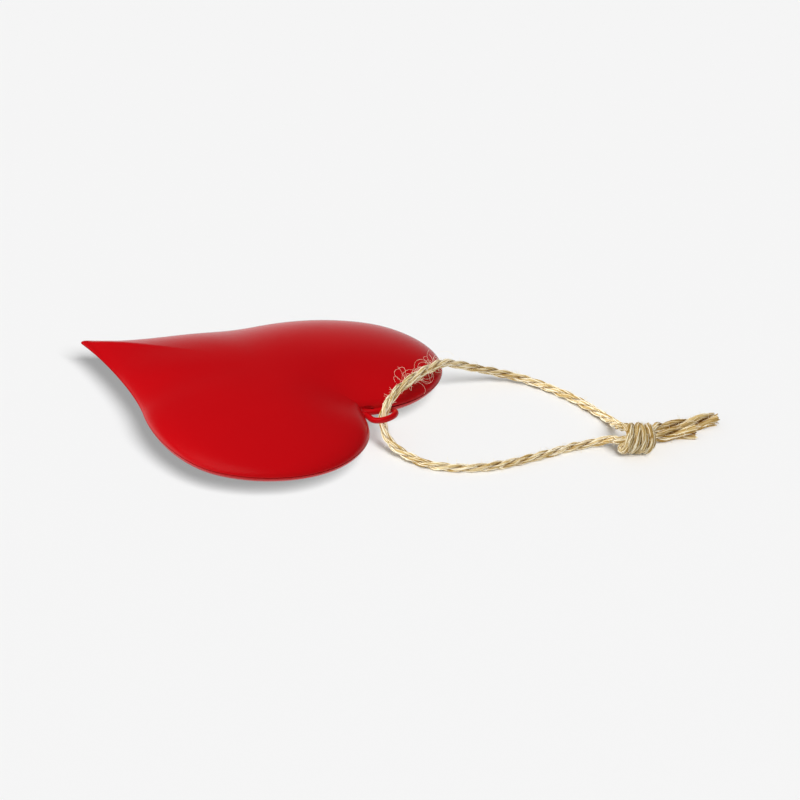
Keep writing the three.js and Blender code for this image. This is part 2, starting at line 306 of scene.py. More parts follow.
def smooth_line(points, step):
    """Evenly spaced points on a centripetal curve through the given ones."""
    p = np.array(points, float)
    p = np.vstack([2 * p[0] - p[1], p, 2 * p[-1] - p[-2]])
    dense = []
    for p0, p1, p2, p3 in zip(p, p[1:], p[2:], p[3:]):
        spans = [np.linalg.norm(b - a) ** 0.5 for a, b in ((p0, p1), (p1, p2), (p2, p3))]
        k = np.cumsum([0, *spans])
        t = np.linspace(k[1], k[2], POINTS_A_SPAN, endpoint=False)[:, None]
        a1 = ((k[1] - t) * p0 + (t - k[0]) * p1) / (k[1] - k[0])
        a2 = ((k[2] - t) * p1 + (t - k[1]) * p2) / (k[2] - k[1])
        a3 = ((k[3] - t) * p2 + (t - k[2]) * p3) / (k[3] - k[2])
        b1 = ((k[2] - t) * a1 + (t - k[0]) * a2) / (k[2] - k[0])
        b2 = ((k[3] - t) * a2 + (t - k[1]) * a3) / (k[3] - k[1])
        dense.append(((k[2] - t) * b1 + (t - k[1]) * b2) / (k[2] - k[1]))
    line = np.vstack([*dense, p[-2]])
    run = np.concatenate([[0], np.cumsum(np.linalg.norm(np.diff(line, axis=0), axis=1))])
    even = np.linspace(0, run[-1], round(run[-1] / step) + 1)
    return np.stack([np.interp(even, run, line[:, i]) for i in range(3)], axis=1)


route = smooth_line(
    LONG_TAIL_ROUTE[::-1] + upper_knot[::-1] + LOOP_ROUTE + lower_knot + SHORT_TAIL_ROUTE, STEP
)
for _ in range(EASINGS):
    route[1:-1] = (route[:-2] + 2 * route[1:-1] + route[2:]) / 4
route[:, 0] += EYE_X


def index_at(point):
    """Where on the route a point is, as the number of the nearest route point."""
    away = route - np.array(point) - (EYE_X, 0, 0)
    return int(np.argmin((away**2).sum(axis=1)))


def along(number):
    """The same place in mm from the start of the route."""
    return float(number * np.linalg.norm(np.diff(route, axis=0), axis=1).mean())


CUTS = [
    0,
    index_at(upper_knot[-1]),
    index_at(upper_knot[0]),
    index_at(IN_EYE),
    index_at(lower_knot[0]),
    index_at(lower_knot[-1]),
    len(route) - 1,
]
STRETCHES = ["tail_long", "knot_upper", "loop_upper", "loop_lower", "knot_lower", "tail_short"]
print("twine:", round(along(CUTS[-1]), 1), "mm in all, cut at", CUTS)

# %% [markdown]
# Three plies lie round each other with a left-hand lay, and every ply is a bundle of
# fibres. The route carries four numbers at each point: the length run, how far the plies
# have turned, how loose they lie and how far apart. The cut tails have lost their twist
# and puffed up, and in the knot the plies are pressed into one.
# One node tree lays all fibres along the whole route and keeps the stretch between two
# lengths, so that every fibre runs on unbroken from one piece to the next.

# %% The route with its turn and looseness
PLIES = 3
FIBRES = 17  # round one ply
PLY_OFFSET = 0.7  # from the twine's middle to the middle of a ply
PLY_RADIUS = 0.66
FIBRE_RADIUS = 0.12
CORE_SHARE = 0.86  # of the ply's radius, filled by its core
LAY = 17.0  # the length of one turn of the plies
TAIL_LAY = 34.0
TAIL_SPREAD = 0.95  # how much wider the cut ends are
OVER_LOBE_LAY = 30.0  # the handled stretch over the far lobe has opened
OVER_LOBE_SPREAD = 0.08
OVER_LOBE_BACK, OVER_LOBE_REACH = 22, 16  # where it is, back from the eye, and how long
KNOT_APART = 0.35  # pulled tight, the plies lose their shape in the knot
KNOT_EDGE = 3  # over which they do
WHOLE = along(len(route) - 1)


def point_numbers():
    """Run in mm, turn in radians, looseness and parting of the plies at every route point."""
    run = np.linspace(0, WHOLE, len(route))
    long_tail, short_tail = along(CUTS[1]), WHOLE - along(CUTS[-2])
    into_tail = np.maximum((long_tail - run) / long_tail, (run - (WHOLE - short_tail)) / short_tail)
    into_tail = np.clip(into_tail, 0, 1)
    over_lobe = np.exp(-(((run - along(CUTS[3]) + OVER_LOBE_BACK) / OVER_LOBE_REACH) ** 2))
    lay = LAY + (TAIL_LAY - LAY) * np.clip(2 * into_tail, 0, 1) + (OVER_LOBE_LAY - LAY) * over_lobe
    turn = np.cumsum(np.full(len(route), -2 * math.pi * WHOLE / (len(route) - 1)) / lay)
    loose = 1 + TAIL_SPREAD * into_tail * (2 - into_tail) + OVER_LOBE_SPREAD * over_lobe
    in_knot = np.zeros(len(route))
    for first, last in (CUTS[1:3], CUTS[4:6]):
        edge = np.minimum(np.arange(len(route)) - first, last - np.arange(len(route))) * STEP
        in_knot = np.maximum(in_knot, np.clip(edge / KNOT_EDGE, 0, 1))
    return run, turn, loose, 1 - (1 - KNOT_APART) * in_knot


def route_object(name):
    """The route as a chain of edges that carries its numbers."""
    made = mesh_object(name, route, [])
    count = len(route)
    made.data.edges.add(count - 1)
    made.data.edges.foreach_set("vertices", [k for i in range(count - 1) for k in (i, i + 1)])
    for label, values in zip(("run", "turn", "loose", "apart"), point_numbers()):
        mark(made, label, values)
    return made


route_line = route_object("twine_route")
print("loosest:", round(float(point_numbers()[2].max()), 2))

# %% [markdown]
# A fibre's path is worked out by Geometry Nodes. Their sums are written step by step, and
# named numbers left on the points carry what one part of a tree tells another.

# %% Tools for node trees
TABLE_CLEAR = 0.05  # the lowest fibre lies this far above the table's surface


def group_inputs(tree, wanted):
    """Adds the group's sockets and gives their identifiers by name."""
    for name, kind in wanted.items():
        tree.interface.new_socket(name, in_out="INPUT", socket_type="NodeSocket" + kind)
    tree.interface.new_socket("Geometry", in_out="OUTPUT", socket_type="NodeSocketGeometry")
    source = add_node(tree, "NodeGroupInput")
    named = {i.name: i.identifier for i in tree.interface.items_tree if i.in_out == "INPUT"}
    return source.outputs, named


def sums(tree, value, *steps):
    """The number after all the steps, such as ("MULTIPLY", 2.0)."""
    for operation, *others in steps:
        value = add_node(tree, "ShaderNodeMath", (value, *others), operation=operation)
    return value


def left_on(tree, geometry, kind="FLOAT", **values):
    """The geometry with named numbers left on it."""
    for name, value in values.items():
        geometry = add_node(
            tree,
            "GeometryNodeStoreNamedAttribute",
            {"Geometry": geometry, "Name": name, "Value": value},
            data_type=kind,
        )
    return geometry


def drifting(tree, run, per_mm, element, seed, detail=1.0):
    """A number that drifts along the twine, in its own way for each ply or fibre."""
    along_it = sums(tree, run, ("MULTIPLY", per_mm))
    place = add_node(tree, "ShaderNodeCombineXYZ", (along_it, element, seed))
    return add_node(tree, "ShaderNodeTexNoise", {"Vector": place, "Scale": 1.0, "Detail": detail})


def finished(tree, geometry, material):
    """Every tree ends with real faces, none under the table, that wear its material."""
    real = add_node(tree, "GeometryNodeRealizeInstances", {"Geometry": geometry})
    here = add_node(tree, "GeometryNodeInputPosition")
    on_table = add_node(
        tree, "ShaderNodeVectorMath", (here, (-1.0, -1.0, TABLE_CLEAR * MM)), operation="MAXIMUM"
    )
    real = add_node(tree, "GeometryNodeSetPosition", {"Geometry": real, "Position": on_table})
    worn = add_node(tree, "GeometryNodeSetMaterial", {"Geometry": real, "Material": material})
    add_node(tree, "NodeGroupOutput", {"Geometry": worn})


# %% [markdown]
# A tube with a rope pattern would be quicker, but up close the photograph shows single
# fibres. A fibre's place in the section of the twine is its ply's place plus its own place
# on the ply. The plies turn one way. The fibres turn the other way round their ply, and so
# they run nearly in line with the twine, as in all laid rope. Noise lets them wander.

# %% Node tree that lays the fibres
SPIN_LEAST, SPIN_RANGE, SPIN_PER_MM = 0.75, 0.5, 0.13  # a ply is thicker and thinner by turns
MERGED_THICKER = 0.85  # plies that lie less far apart fill the same room, so each is thicker
FIBRE_BACK_TURN = 0.55  # how far a fibre turns back, as a share of the plies' turn
WANDER, WANDER_PER_MM = 2.4, 0.16  # how far a fibre strays round its ply, in radians
LIFT_LEAST, LIFT_RANGE, LIFT_PER_MM = 0.7, 0.5, 0.3  # and how far out from its middle
FIBRE_THINNEST, FIBRE_THICKEST = 0.7, 1.45  # of the usual fibre
FIBRE_SIDES, CORE_SIDES = 4, 9
TONE_LEAST, TONE_MOST = -0.55, 0.5  # a fibre's own tone, to which the drift is added
TONE_DRIFT, TONE_PER_MM, TONE_DETAIL = 1.2, 0.25, 2.0
SHADE_IN_KNOT, DARKER_AT_ENDS = 0.3, 0.25  # painted shade in the tight knot; the fibre is darker at the loose ends too
CORE_TONE = 0.25
RAGGED = 1.0  # at a cut end a fibre is at most so much shorter
print("fibres to lay:", PLIES * FIBRES)

# %% [markdown]
# Four steps of the tree have a function each: copying the route for every fibre, finding a
# place in the twine's section, keeping one stretch, and sweeping a small circle along it.


# %% Steps of the laying
def strands(tree, geometry, count):
    """So many copies of the route, each with its own number left on it."""
    copies = add_node(
        tree,
        "GeometryNodeDuplicateElements",
        {"Geometry": geometry, "Amount": count},
        domain="SPLINE",
    )
    return left_on(tree, copies, strand=copies.outputs["Duplicate Index"])


def in_section(tree, angle, reach):
    """A vector across the twine, at an angle from the route's own normal."""
    normal = add_node(tree, "GeometryNodeInputNormal")
    tangent = add_node(tree, "GeometryNodeInputTangent")
    across = add_node(tree, "ShaderNodeVectorMath", (tangent, normal), operation="CROSS_PRODUCT")
    sides = []
    for way, share in ((normal, "COSINE"), (across, "SINE")):
        far = sums(tree, angle, (share,), ("MULTIPLY", reach))
        sides.append(
            add_node(tree, "ShaderNodeVectorMath", {0: way, "Scale": far}, operation="SCALE")
        )
    return add_node(tree, "ShaderNodeVectorMath", sides, operation="ADD")


def between(tree, geometry, source, run, strand):
    """Only what lies between From and To. At the cut ends no two fibres are equally long."""
    ragged = add_node(
        tree,
        "FunctionNodeRandomValue",
        {"Min": 0.0, "Max": RAGGED, "ID": strand, "Seed": 5},
        data_type="FLOAT",
    )
    first = sums(tree, source["From"], ("MAXIMUM", ragged))
    last = sums(tree, source["To"], ("MINIMUM", sums(tree, WHOLE, ("SUBTRACT", ragged))))
    past_it = sums(tree, run, ("GREATER_THAN", last))
    outside = sums(tree, run, ("LESS_THAN", first), ("ADD", past_it))
    return add_node(
        tree,
        "GeometryNodeDeleteGeometry",
        {"Geometry": geometry, "Selection": outside},
        domain="POINT",
    )


def swept(tree, curve, radius, sides, scale):
    """A tube along a curve, closed at both ends."""
    circle = add_node(
        tree, "GeometryNodeCurvePrimitiveCircle", {"Resolution": sides, "Radius": radius}
    )
    return add_node(
        tree,
        "GeometryNodeCurveToMesh",
        {"Curve": curve, "Profile Curve": circle, "Scale": scale, "Fill Caps": True},
    )


# %% [markdown]
# The tree itself lays two kinds of part: the thin fibres, and a plain core in every ply,
# which fills it so that no light shows through. Both leave on their faces what the material
# reads, and the tree ends in real faces that can be kept.


# %% The laying tree
def laying_tree():
    tree = bpy.data.node_groups.new("lay the fibres", "GeometryNodeTree")
    sizes = ("From", "To", "Ply Offset", "Ply Radius", "Fibre Radius")
    source, named = group_inputs(
        tree, {"Geometry": "Geometry", **dict.fromkeys(sizes, "Float"), "Material": "Material"}
    )
    line = add_node(tree, "GeometryNodeMeshToCurve", {"Mesh": source["Geometry"]})
    here = add_node(tree, "GeometryNodeInputPosition")
    line = left_on(tree, line, "FLOAT_VECTOR", axis=here)
    run, turn, loose, apart, strand = (
        add_node(tree, "GeometryNodeInputNamedAttribute", {"Name": name}, data_type="FLOAT")
        for name in ("run", "turn", "loose", "apart", "strand")
    )
    axis = add_node(
        tree, "GeometryNodeInputNamedAttribute", {"Name": "axis"}, data_type="FLOAT_VECTOR"
    )
    round_ply, thickness, tone = (
        add_node(
            tree,
            "FunctionNodeRandomValue",
            {"Min": least, "Max": most, "ID": strand, "Seed": seed},
            data_type="FLOAT",
        )
        for least, most, seed in (
            (0.0, 2 * math.pi, 1), (FIBRE_THINNEST, FIBRE_THICKEST, 2), (TONE_LEAST, TONE_MOST, 3),
        )
    )
    drift = drifting(tree, run, TONE_PER_MM, strand, 17.0, TONE_DETAIL)
    tone = sums(tree, drift, ("MULTIPLY_ADD", TONE_DRIFT, tone))
    # Painted shade in the tight knot; the fibre is also darker where the ends are loose.
    in_knot = sums(tree, apart, ("MULTIPLY_ADD", SHADE_IN_KNOT, -SHADE_IN_KNOT))
    at_ends = sums(tree, loose, ("MULTIPLY_ADD", -DARKER_AT_ENDS, DARKER_AT_ENDS))
    tone = sums(tree, tone, ("ADD", in_knot), ("ADD", at_ends))
    from_axis = add_node(tree, "ShaderNodeVectorMath", (here, axis), operation="DISTANCE")
    proud = sums(tree, from_axis, ("DIVIDE", loose), ("DIVIDE", TWINE / 2 * MM))
    thicker = sums(tree, apart, ("MULTIPLY_ADD", -MERGED_THICKER, 1 + MERGED_THICKER))
    parts = []
    for fibres in (FIBRES, 1):
        core = fibres == 1
        laid = strands(tree, line, PLIES * fibres)
        ply = sums(tree, strand, ("DIVIDE", float(fibres)), ("FLOOR",))
        ply_angle = sums(tree, ply, ("MULTIPLY_ADD", 2 * math.pi / PLIES, turn))
        uneven = drifting(tree, run, SPIN_PER_MM, ply, 0.0)
        swell = sums(tree, uneven, ("MULTIPLY_ADD", SPIN_RANGE, SPIN_LEAST), ("MULTIPLY", loose))
        to_ply = sums(tree, swell, ("MULTIPLY", apart), ("MULTIPLY", source["Ply Offset"]))
        offset = in_section(tree, ply_angle, to_ply)
        swell = sums(tree, swell, ("MULTIPLY", thicker))
        if not core:
            strays = drifting(tree, run, WANDER_PER_MM, strand, 3.0)
            own = sums(tree, strays, ("MULTIPLY_ADD", WANDER, round_ply))
            own = sums(tree, turn, ("MULTIPLY_ADD", -FIBRE_BACK_TURN, own))
            lift = drifting(tree, run, LIFT_PER_MM, strand, 9.0)
            lift = sums(tree, lift, ("MULTIPLY_ADD", LIFT_RANGE, LIFT_LEAST), ("MULTIPLY", swell))
            on_ply = in_section(tree, own, sums(tree, lift, ("MULTIPLY", source["Ply Radius"])))
            offset = add_node(tree, "ShaderNodeVectorMath", (offset, on_ply), operation="ADD")
        laid = add_node(tree, "GeometryNodeSetPosition", {"Geometry": laid, "Offset": offset})
        laid = between(tree, laid, source, run, strand)
        if core:
            radius = sums(tree, source["Ply Radius"], ("MULTIPLY", CORE_SHARE))
            part = swept(tree, laid, radius, CORE_SIDES, swell)
        else:
            part = swept(tree, laid, source["Fibre Radius"], FIBRE_SIDES, thickness)
        parts.append(left_on(tree, part, proud=proud, tone=CORE_TONE if core else tone))
    joined = add_node(tree, "GeometryNodeJoinGeometry", {"Geometry": parts})
    finished(tree, joined, source["Material"])
    return tree, named


laying = laying_tree()
print("laying tree:", len(laying[0].nodes), "nodes")

# %% [markdown]
# Jute twine is hairy: short fibre ends stand off it everywhere. A particle system could
# grow them, but its hairs are no mesh. So a second tree sows bent hairs of four kinds on the
# laid twine, each turned its own way.

# %% Node tree that sows the hairs
HAIR_BENDS = [  # middle and end of each kind of hair, which starts in the twine's surface
    ((0.9, 0.1, 0.5), (1.9, 0.5, 0.35)),
    ((0.6, -0.3, 0.7), (1.4, -0.9, 0.8)),
    ((1.0, 0.2, 0.25), (2.0, -0.3, 0.6)),
    ((0.4, 0.4, 0.7), (0.2, 1.3, 1.1)),
]
HAIR_ROOT = (0, 0, -0.1)
HAIR_RADIUS = 0.045
HAIR_STEPS, HAIR_SIDES = 6, 3
HAIR_SHORTEST, HAIR_LONGEST = 0.5, 1.1  # of the bends above
HAIR_TONE = 0.8
HAIRS_PER_M2 = 100000.0


def hair_shapes(tree, radius):
    """The four kinds of hair, side by side as instances."""
    shapes = []
    for middle, end in HAIR_BENDS:
        ends = {"Start": HAIR_ROOT, "Middle": middle, "End": end}
        places = {name: tuple(c * MM for c in place) for name, place in ends.items()}
        bent = add_node(
            tree, "GeometryNodeCurveQuadraticBezier", {"Resolution": HAIR_STEPS, **places}
        )
        shapes.append(swept(tree, bent, radius, HAIR_SIDES, 1.0))
    return add_node(tree, "GeometryNodeGeometryToInstance", {"Geometry": shapes})


def hair_tree():
    tree = bpy.data.node_groups.new("sow the hairs", "GeometryNodeTree")
    kinds = {"Density": "Float", "Seed": "Int", "Hair Radius": "Float", "Material": "Material"}
    source, named = group_inputs(tree, {"Geometry": "Geometry", **kinds})
    sown = add_node(
        tree,
        "GeometryNodeDistributePointsOnFaces",
        {"Mesh": source["Geometry"], "Density": source["Density"], "Seed": source["Seed"]},
    )
    spin, size = (
        add_node(
            tree,
            "FunctionNodeRandomValue",
            {"Min": least, "Max": most, "Seed": seed},
            data_type="FLOAT",
        )
        for least, most, seed in ((0.0, 2 * math.pi, 1), (HAIR_SHORTEST, HAIR_LONGEST, 2))
    )
    turned = add_node(
        tree,
        "FunctionNodeRotateRotation",
        {
            "Rotation": sown.outputs["Rotation"],
            "Rotate By": add_node(tree, "ShaderNodeCombineXYZ", {"Z": spin}),
        },
        rotation_space="LOCAL",
    )
    hairs = add_node(
        tree,
        "GeometryNodeInstanceOnPoints",
        {
            "Points": sown.outputs["Points"],
            "Instance": hair_shapes(tree, source["Hair Radius"]),
            "Pick Instance": True,
            "Rotation": turned,
            "Scale": add_node(tree, "ShaderNodeCombineXYZ", (size, size, size)),
        },
    )
    hairs = left_on(tree, hairs, proud=1.0, tone=HAIR_TONE)
    joined = add_node(tree, "GeometryNodeJoinGeometry", {"Geometry": [hairs, source["Geometry"]]})
    finished(tree, joined, source["Material"])
    return tree, named


sowing = hair_tree()
print("hair tree:", len(sowing[0].nodes), "nodes")

# %% [markdown]
# Each stretch is one piece: the two sides of the loop, the two strands in the knot, and
# the two cut tails. The node trees could stay on them as modifiers, but only plain meshes
# can be handed on, so each result becomes a mesh of its own.


# %% The six stretches of twine
def grown(source, tree_and_sockets, values, name):
    """The mesh that a node tree makes of an object, as an object of its own without modifiers."""
    tree, sockets = tree_and_sockets
    modifier = source.modifiers.new("grow", "NODES")
    modifier.node_group = tree
    for label, value in values.items():
        modifier[sockets[label]] = value
    source.update_tag()
    evaluated = source.evaluated_get(bpy.context.evaluated_depsgraph_get())
    data = bpy.data.meshes.new_from_object(evaluated)
    source.modifiers.clear()
    data.name = name
    data.shade_smooth()
    made = bpy.data.objects.new(name, data)
    bpy.context.scene.collection.objects.link(made)
    return made


LAYING_SIZES = {
    "Ply Offset": PLY_OFFSET * MM,
    "Ply Radius": PLY_RADIUS * MM,
    "Fibre Radius": FIBRE_RADIUS * MM,
    "Material": jute,
}
SOWING_SIZES = {"Density": HAIRS_PER_M2, "Hair Radius": HAIR_RADIUS * MM, "Material": jute}

twine = {}
for number, (name, start, end) in enumerate(zip(STRETCHES, CUTS, CUTS[1:])):
    ends = {"From": along(start) - STEP / 10, "To": along(end) + STEP / 10}
    laid = grown(route_line, laying, {**LAYING_SIZES, **ends}, "laid_" + name)
    values = {**SOWING_SIZES, "Seed": number}
    twine[name] = grown(laid, sowing, values, "twine_" + name + "_laid")
    bpy.data.objects.remove(laid)
    print(name, len(twine[name].data.polygons), "faces")
bpy.data.objects.remove(route_line)

# %% [markdown]
# The two shells are stamped to the same dome and meet at the rim, where their edges turn
# in a little and leave a fine groove. A smoothed copy of the solid would lose the sharp
# tip and cleft. So the outline is the one that the solid has, drawn four times as finely,
# and the contours high on the dome are evened out until they have no cleft any more.

# %% Outline and dome of the heart
CREST = (119.7, 27)
WIDEST = (85.5, 59)
SHOULDER = (46.2, 36.3)
DOME_TOP_AT = 70.6
HALF_THICKNESS = 8.9
NOSE_RADIUS = 0.8
BELLY_FLAT = 0.12
TIP_ANGLE, TIP_HANDLE = 27, 13
SHOULDER_ANGLE, SHOULDER_IN, SHOULDER_OUT = 49.7, 16.9, 15.4
WIDEST_IN, WIDEST_OUT = 12.4, 15.2
CREST_IN, CREST_OUT = 20.6, 14.8
CLEFT_ANGLE, CLEFT_HANDLE = 50.2, 8.3
DOME_POWER = 2.2  # the higher, the flatter the top and the steeper the sides
FULL_LOBES, FULL_TIP, TIP_SHARPNESS = 0.5, 1.0, 2  # round over the lobes, lean at the tip
RIM_GRIP = 3  # how soon the contours leave the outline's own shape
TIP_LENGTH, TIP_SWELL = 20, 0.35  # towards its end the tip is a little fatter again
NOSE_HEIGHT, NOSE_POWER = 1.0, 60  # and it ends blunt
CLEFT_DIP, CLEFT_REACH = 0.35, 15  # the shells are pressed a little flatter round the cleft
RIM_Z = HALF_THICKNESS - BELLY_FLAT
FINER = 4
FLANK_STEPS = (11, 9, 12, 12)
NOSE_STEPS = 3
SOFTENING = 26  # degrees, over which the contours high on the dome are evened out


def polar(radius, degrees):
    return radius * np.array([math.cos(math.radians(degrees)), math.sin(math.radians(degrees))])


def bezier(a, b, c, d, steps):
    t = np.linspace(0, 1, steps + 1)[1:, None]
    return (1 - t) ** 3 * a + 3 * (1 - t) ** 2 * t * b + 3 * (1 - t) * t**2 * c + t**3 * d


def heart_outline(finer):
    """The whole outline from the tip, with so many times the steps of the solid."""
    steps = [n * finer for n in FLANK_STEPS]
    nose = [
        np.array([NOSE_RADIUS, 0]) + polar(NOSE_RADIUS, 180 - (90 - TIP_ANGLE) * share)
        for share in np.linspace(0, 1, NOSE_STEPS * finer + 1)
    ]
    flank, cleft = nose[-1], np.array([CLEFT_AT, 0])
    shoulder, widest, crest = (np.array(p, float) for p in (SHOULDER, WIDEST, CREST))
    half = np.vstack([
        nose,
        bezier(flank, flank + polar(TIP_HANDLE, TIP_ANGLE),
               shoulder - polar(SHOULDER_IN, SHOULDER_ANGLE), shoulder, steps[0]),
        bezier(shoulder, shoulder + polar(SHOULDER_OUT, SHOULDER_ANGLE),
               widest - polar(WIDEST_IN, 0), widest, steps[1]),
        bezier(widest, widest + polar(WIDEST_OUT, 0), crest + polar(CREST_IN, 90), crest, steps[2]),
        bezier(crest, crest - polar(CREST_OUT, 90),
               cleft + polar(CLEFT_HANDLE, CLEFT_ANGLE), cleft, steps[3]),
    ])
    return np.vstack([half, half[-2:0:-1] * (1, -1)])


def rounded(away, reach):
    """The outline's reach from the middle, evened out over the directions near each one."""
    facing = np.arctan2(away[:, 1], away[:, 0])
    turned = (facing[:, None] - facing[None, :] + math.pi) % (2 * math.pi) - math.pi
    weights = np.exp(-((turned / math.radians(SOFTENING)) ** 2))
    return weights @ reach / weights.sum(axis=1)


outline = heart_outline(FINER)
middle = np.array([DOME_TOP_AT, 0.0])
away = outline - middle
reach = np.linalg.norm(away, axis=1)
soft_outline = middle + away / reach[:, None] * rounded(away, reach)[:, None]
tipness = np.maximum(0, -away[:, 0] / reach) ** TIP_SHARPNESS
fullness = FULL_LOBES + (FULL_TIP - FULL_LOBES) * tipness
print("heart outline:", len(outline), "points")

# %% [markdown]
# The rim: the very edge of each shell is turned in, so the seam shows as a thin dark line
# all round the heart, and shade is painted into it as well. The groove is widest at the cleft,
# where the wire comes out, and the painted shade is darkest there. It is modelled, as further
# rings of the same skin, because bump alone gives no dark gap.

# %% The heart's mesh
DOME_RINGS = 40
SEAM_LIPS = [(0.0, 0.15), (0.02, 0.12), (0.06, 0.09), (0.3, 0.05), (0.36, 0.0)]  # inwards, up
GAPE, GAPE_REACH = 4.2, 8  # how much wider the seam is where the wire parts the shells
LEAST_RISE = 0.02  # from one ring of the dome to the next, so that the rim stays open
# Painted shade: near-black on the rings deep in the seam, all round and most at the cleft.
SHADED_RINGS = slice(2, 7)  # those in the seam, counted from the upper lip
SEAM_SHADE_ALL_ROUND, SEAM_SHADE_AT_CLEFT, SEAM_SHADE_REACH = 0.4, 0.8, 30


def rim_normals(line):
    """Which way is out, in the plane, at each point of a closed line."""
    run = np.roll(line, -1, axis=0) - np.roll(line, 1, axis=0)
    return np.stack([-run[:, 1], run[:, 0]], axis=1) / np.linalg.norm(run, axis=1)[:, None]


from_cleft = np.linalg.norm(outline - (CLEFT_AT, 0), axis=1)
parted = 1 + GAPE * np.exp(-((from_cleft / GAPE_REACH) ** 2))


def dome_ring(number, side):
    share = math.sin(number / DOME_RINGS * math.pi / 2)
    contour = soft_outline + (outline - soft_outline) * share**RIM_GRIP
    flat = middle + (contour - middle) * share
    near_tip = np.exp(-((np.linalg.norm(flat, axis=1) / TIP_LENGTH) ** 2))
    near_cleft = np.exp(-((np.linalg.norm(flat - (CLEFT_AT, 0), axis=1) / CLEFT_REACH) ** 2))
    height = HALF_THICKNESS * (1 - share**DOME_POWER) ** fullness
    height *= (1 + TIP_SWELL * near_tip) * (1 - CLEFT_DIP * near_cleft)
    height = np.maximum(height, NOSE_HEIGHT * near_tip * math.sqrt(1 - share**NOSE_POWER))
    lowest = SEAM_LIPS[0][1] + LEAST_RISE * (DOME_RINGS - number)
    height = np.maximum(height, lowest * parted)
    if side < 0:
        height = -np.minimum(height, RIM_Z)
    return np.column_stack([flat, height])


def seam_ring(inwards, up):
    flat = outline - rim_normals(outline) * (inwards * parted)[:, None]
    return np.column_stack([flat, up * parted])


def ringed(first, rings, last):
    """A closed skin from one pole over the rings to the other pole."""
    count = len(rings[0])
    points = np.vstack([[first], *rings, [last]])
    faces = []

    def at(r, i):
        return 1 + r * count + i % count

    for i in range(count):
        faces.append((0, at(0, i + 1), at(0, i)))
        for r in range(len(rings) - 1):
            faces.append((at(r, i), at(r, i + 1), at(r + 1, i + 1), at(r + 1, i)))
        faces.append((len(points) - 1, at(len(rings) - 1, i), at(len(rings) - 1, i + 1)))
    return points, faces


upper = [dome_ring(number, 1) for number in range(1, DOME_RINGS)]
lips = [seam_ring(inwards, up) for inwards, up in SEAM_LIPS]
lips += [seam_ring(inwards, -up) for inwards, up in SEAM_LIPS[-2::-1]]
lower = [dome_ring(number, -1) for number in range(DOME_RINGS - 1, 0, -1)]
points, faces = ringed((*middle, HALF_THICKNESS), upper + lips + lower, (*middle, -RIM_Z))
points += (HEART_X, 0, RIM_Z)
heart = mesh_object("heart_shells", points, faces, red_paint)

# How much shade is painted into the seam at each point of the outline.
seam_shade_strength = SEAM_SHADE_ALL_ROUND + SEAM_SHADE_AT_CLEFT * np.exp(-((from_cleft / SEAM_SHADE_REACH) ** 2))
painted_seam_shade = np.zeros((len(upper + lips + lower), len(outline)))
painted_seam_shade[len(upper) :][SHADED_RINGS] = np.clip(seam_shade_strength, 0, 1)
painted_seam_shade = np.concatenate([[0], painted_seam_shade.ravel(), [0]])
mark(heart, "seam", painted_seam_shade)
print("heart:", len(heart.data.polygons), "faces")

# %% [markdown]
# A 2 mm wire bent to a ring. Its two legs run side by side into the cleft, and the whole
# was painted at once. A ready-made ring has no legs, so a circle is carried along the
# wire's own line.

# %% Wire eye
WIRE = 2.0
WIRE_SIDES = 20
WIRE_STEP = 0.35
RING_RADIUS = 4.2
RING_STEPS = 16
RING_OPENS = 0.45  # the angle, in radians, over which a leg bends into the ring
LEG_HALF_SPACING = 1.15
LEG_INSIDE = 6.5
LEG_OUTSIDE = 1.9
EYE_RISE = 0.8
PIERCED = WIRE / 2 + 0.7  # half of the height of the hole
HOLE_HALF_WIDTH = LEG_HALF_SPACING + 1.0  # to where its round sides start
HOLE_DEEPER = 0.3  # than the legs reach
HOLE_ARC_STEP = 15  # degrees
SHARP_FROM = 40  # degrees between two faces


def eye_line():
    start = math.asin(LEG_HALF_SPACING / RING_RADIUS) + RING_OPENS
    points = [
        (CLEFT_AT - LEG_INSIDE, LEG_HALF_SPACING, 0),
        (CLEFT_AT - LEG_INSIDE / 2, LEG_HALF_SPACING, 0),
        (CLEFT_AT + LEG_OUTSIDE, LEG_HALF_SPACING, 0),
    ]
    legs = [(x, -y, z) for x, y, z in points[::-1]]
    for i in range(RING_STEPS + 1):
        angle = math.pi - start - 2 * (math.pi - start) * i / RING_STEPS
        reach = RING_PAST_CLEFT + RING_RADIUS * math.cos(angle)
        rise = EYE_RISE * (reach / RING_PAST_CLEFT) ** 2
        points.append((CLEFT_AT + reach, RING_RADIUS * math.sin(angle), rise))
    return smooth_line(points + legs, WIRE_STEP) + (HEART_X, 0, RIM_Z)


def tube_along(name, line, radius, sides, material):
    """A round bar along a line, closed at both ends."""
    tangents = np.gradient(line, axis=0)
    tangents /= np.linalg.norm(tangents, axis=1)[:, None]
    normal = np.cross(tangents[0], (0, 0, 1.0) if abs(tangents[0][2]) < 0.9 else (1.0, 0, 0))
    rings = []
    for at, tangent in zip(line, tangents):
        normal = normal - tangent * (normal @ tangent)
        normal /= np.linalg.norm(normal)
        side = np.cross(tangent, normal)
        turn = np.linspace(0, 2 * math.pi, sides, endpoint=False)[:, None]
        rings.append(at + radius * (np.cos(turn) * normal + np.sin(turn) * side))
    count, last = sides, len(rings) * sides
    faces = [tuple(range(count))[::-1], tuple(range(last - count, last))]
    for r in range(len(rings) - 1):
        for i in range(count):
            a, b = r * count + i, r * count + (i + 1) % count
            faces.append((a, b, b + count, a + count))
    return mesh_object(name, np.vstack(rings), faces, material)


eye = tube_along("painted_wire_eye", eye_line(), WIRE / 2, WIRE_SIDES, red_paint)
print("wire eye:", len(eye.data.polygons), "faces")
